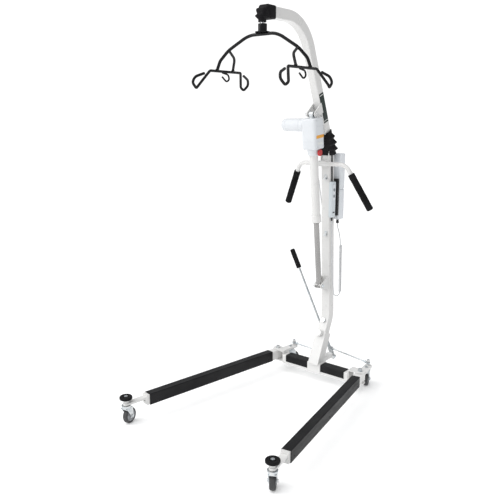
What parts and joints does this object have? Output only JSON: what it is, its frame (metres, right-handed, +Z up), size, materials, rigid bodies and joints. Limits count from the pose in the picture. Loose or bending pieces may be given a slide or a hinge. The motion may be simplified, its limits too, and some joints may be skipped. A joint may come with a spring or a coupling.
{
  "type": "patient lift hoist",
  "caption": "Mobile patient lift with splayed rolling base, bent mast, curved boom, electric ram, push handle and a turning sling cradle with open hooks.",
  "frame": {"origin": "on the floor at the middle of the hoist's footprint, without its cords", "axes": "+Z up; -Y is the front, where the legs point; +X is the operator's left seen from behind, and the right-hand side seen from the front"},
  "size_m": [0.9078, 1.1679, 1.868],
  "materials": {
    "white_coat": "glossy white powder coat",
    "black_cover": "satin black extruded cover",
    "black_rubber": "matt black moulded rubber",
    "black_foam": "fine-grained black foam grip",
    "zinc": "bright zinc plate with slight blue tint",
    "bright_chrome": "polished chrome",
    "black_gloss": "gloss black powder coat",
    "pale_plastic": "pale blue-grey moulded housing",
    "grey_cord": "smooth pale grey cable jacket",
    "white_plastic": "gloss white moulded knob",
    "red_plastic": "red moulded knob",
    "button_grey": "soft grey membrane button",
    "caster_tyre": "dark grey non-marking tyre"
  },
  "bodies": {
    "base": {"cross_tube": "white_coat", "clevis_left": "white_coat", "clevis_right": "white_coat", "mast_saddle": "white_coat", "cross_pad_left": "black_cover", "cross_pad_right": "black_cover", "frame_bolts": "zinc", "mast_tube": "white_coat", "mast_sleeve": "white_coat", "foot_bracket": "white_coat", "push_handle": "white_coat", "grip_left": "black_foam", "grip_right": "black_foam", "control_box": "pale_plastic", "box_rail": "black_cover", "handset": "pale_plastic", "cable_clips": "zinc", "handset_cord": "grey_cord", "handset_coil": "grey_cord", "coil_cord": "grey_cord", "motor_cable": "grey_cord", "mast_boot": "black_rubber"},
    "left_leg": {"leg_left": "white_coat", "leg_cover_left": "black_cover", "bumper_left": "black_rubber"},
    "right_leg": {"leg_right": "white_coat", "leg_cover_right": "black_cover", "bumper_right": "black_rubber"},
    "lever": {"shift_crank": "zinc", "shift_lever": "zinc", "shift_grip": "black_foam"},
    "left_link": {"tie_rod_left": "zinc"},
    "right_link": {"tie_rod_right": "zinc"},
    "mast_lock": {"lock_knob": "white_plastic"},
    "battery": {"battery_pack": "pale_plastic"},
    "stop_press": {"stop_button": "red_plastic"},
    "up_press": {"button_up": "button_grey"},
    "down_press": {"button_down": "button_grey"},
    "boom_arm": {"boom_tube": "white_coat", "boom_bracket": "white_coat", "boom_end": "white_coat", "end_boot": "black_rubber"},
    "ram_rod": {"piston_rod": "bright_chrome"},
    "ram_body": {"gear_housing": "pale_plastic", "motor": "pale_plastic", "outer_tube": "white_coat"},
    "lowering_wheel": {"lowering_knob": "red_plastic"},
    "hanger": {"hanger_neck": "bright_chrome"},
    "cradle": {"cradle_hub": "black_gloss", "cradle_arch": "black_gloss", "crossbar_left": "black_gloss", "crossbar_right": "black_gloss"},
    "swivel_front_left": {"caster_fork_front_left": "zinc"},
    "roll_front_left": {"caster_wheel_front_left": "caster_tyre"},
    "swivel_front_right": {"caster_fork_front_right": "zinc"},
    "roll_front_right": {"caster_wheel_front_right": "caster_tyre"},
    "swivel_rear_left": {"caster_fork_rear_left": "zinc"},
    "roll_rear_left": {"caster_wheel_rear_left": "caster_tyre"},
    "swivel_rear_right": {"caster_fork_rear_right": "zinc"},
    "roll_rear_right": {"caster_wheel_rear_right": "caster_tyre"}
  },
  "joints": [
    {"name": "leg_left_swing", "type": "hinge", "parent": "base", "child": "left_leg", "pos_m": [0.261, 0.4124, 0.093], "axis": [0, 0, 1], "range_deg": [-9.57, 0]},
    {"name": "leg_right_swing", "type": "hinge", "parent": "base", "child": "right_leg", "pos_m": [-0.261, 0.4124, 0.093], "axis": [0, 0, 1], "range_deg": [0, 9.57]},
    {"name": "lever_shift", "type": "hinge", "parent": "base", "child": "lever", "pos_m": [0, 0.5624, 0.112], "axis": [0, 1, 0], "range_deg": [0, 53.41]},
    {"name": "left_link_turn", "type": "hinge", "parent": "lever", "child": "left_link", "pos_m": [-0.01078, 0.5744, 0.13344], "axis": [0, 1, 0], "range_deg": [-53.41, 0]},
    {"name": "right_link_turn", "type": "hinge", "parent": "lever", "child": "right_link", "pos_m": [0.01078, 0.5744, 0.09056], "axis": [0, 1, 0], "range_deg": [-53.41, 0]},
    {"name": "swivel_turn_front_left", "type": "hinge", "parent": "left_leg", "child": "swivel_front_left", "pos_m": [0.42393, -0.55396, 0.088], "axis": [0, 0, 1], "continuous": true},
    {"name": "wheel_roll_front_left", "type": "hinge", "parent": "swivel_front_left", "child": "roll_front_left", "pos_m": [0.41361, -0.53683, 0.0375], "axis": [0.8565, 0.5161, 0], "continuous": true},
    {"name": "swivel_turn_front_right", "type": "hinge", "parent": "right_leg", "child": "swivel_front_right", "pos_m": [-0.42393, -0.55396, 0.088], "axis": [0, 0, 1], "continuous": true},
    {"name": "wheel_roll_front_right", "type": "hinge", "parent": "swivel_front_right", "child": "roll_front_right", "pos_m": [-0.42806, -0.53439, 0.0375], "axis": [0.9784, 0.2067, 0], "continuous": true},
    {"name": "swivel_turn_rear_left", "type": "hinge", "parent": "left_leg", "child": "swivel_rear_left", "pos_m": [0.24438, 0.51101, 0.088], "axis": [0, 0, 1], "continuous": true},
    {"name": "wheel_roll_rear_left", "type": "hinge", "parent": "swivel_rear_left", "child": "roll_rear_left", "pos_m": [0.23751, 0.52979, 0.0375], "axis": [0.9393, 0.3432, 0], "continuous": true},
    {"name": "swivel_turn_rear_right", "type": "hinge", "parent": "right_leg", "child": "swivel_rear_right", "pos_m": [-0.24438, 0.51101, 0.088], "axis": [0, 0, 1], "continuous": true},
    {"name": "wheel_roll_rear_right", "type": "hinge", "parent": "swivel_rear_right", "child": "roll_rear_right", "pos_m": [-0.23917, 0.53032, 0.0375], "axis": [0.9656, -0.26, 0], "continuous": true},
    {"name": "lock_knob_turn", "type": "hinge", "parent": "base", "child": "mast_lock", "pos_m": [0, 0.43836, 0.26345], "axis": [0, -0.9119, 0.4104], "continuous": true},
    {"name": "battery_lift", "type": "slide", "parent": "base", "child": "battery", "axis": [0, 0, 1], "range_m": [0, 0.12]},
    {"name": "stop_press_slide", "type": "slide", "parent": "base", "child": "stop_press", "axis": [0, -1, 0], "range_m": [0, 0.003]},
    {"name": "up_press_slide", "type": "slide", "parent": "base", "child": "up_press", "axis": [-1, 0, 0], "range_m": [0, 0.0012], "stiffness_N_per_m": 300},
    {"name": "down_press_slide", "type": "slide", "parent": "base", "child": "down_press", "axis": [-1, 0, 0], "range_m": [0, 0.0012], "stiffness_N_per_m": 300},
    {"name": "boom_lift", "type": "hinge", "parent": "base", "child": "boom_arm", "pos_m": [0, 0.4594, 1.26], "axis": [1, 0, 0], "range_deg": [0, 76], "deforming": ["mast_boot"]},
    {"name": "ram_tilt", "type": "hinge", "parent": "base", "child": "ram_rod", "pos_m": [0, 0.4124, 0.535], "axis": [1, 0, 0], "range_deg": [0, 6.07]},
    {"name": "ram_stroke", "type": "slide", "parent": "ram_rod", "child": "ram_body", "axis": [0, -0.113, 0.9936], "range_m": [-0.24997, 0], "deforming": ["motor_cable"]},
    {"name": "lowering_turn", "type": "hinge", "parent": "ram_body", "child": "lowering_wheel", "pos_m": [0.04, 0.33331, 1.23019], "axis": [1, 0, 0], "continuous": true},
    {"name": "hanger_level", "type": "hinge", "parent": "boom_arm", "child": "hanger", "pos_m": [0, -0.0806, 1.822], "axis": [1, 0, 0], "range_deg": [-76, 0], "deforming": ["end_boot"]},
    {"name": "cradle_turn", "type": "hinge", "parent": "hanger", "child": "cradle", "pos_m": [0, -0.0806, 1.76], "axis": [0, 0, 1], "continuous": true}
  ],
  "couplings": [
    {"joint": "leg_right_swing", "follows": "leg_left_swing", "ratio": -1},
    {"joint": "lever_shift", "follows": "leg_left_swing", "ratio": -5.5799},
    {"joint": "left_link_turn", "follows": "leg_left_swing", "ratio": 5.5799},
    {"joint": "right_link_turn", "follows": "leg_left_swing", "ratio": 5.5799},
    {"joint": "ram_tilt", "follows": "boom_lift", "ratio": 0.079794},
    {"joint": "ram_stroke", "follows": "boom_lift", "m_per_rad": -0.18837},
    {"joint": "hanger_level", "follows": "boom_lift", "ratio": -1}
  ]
}
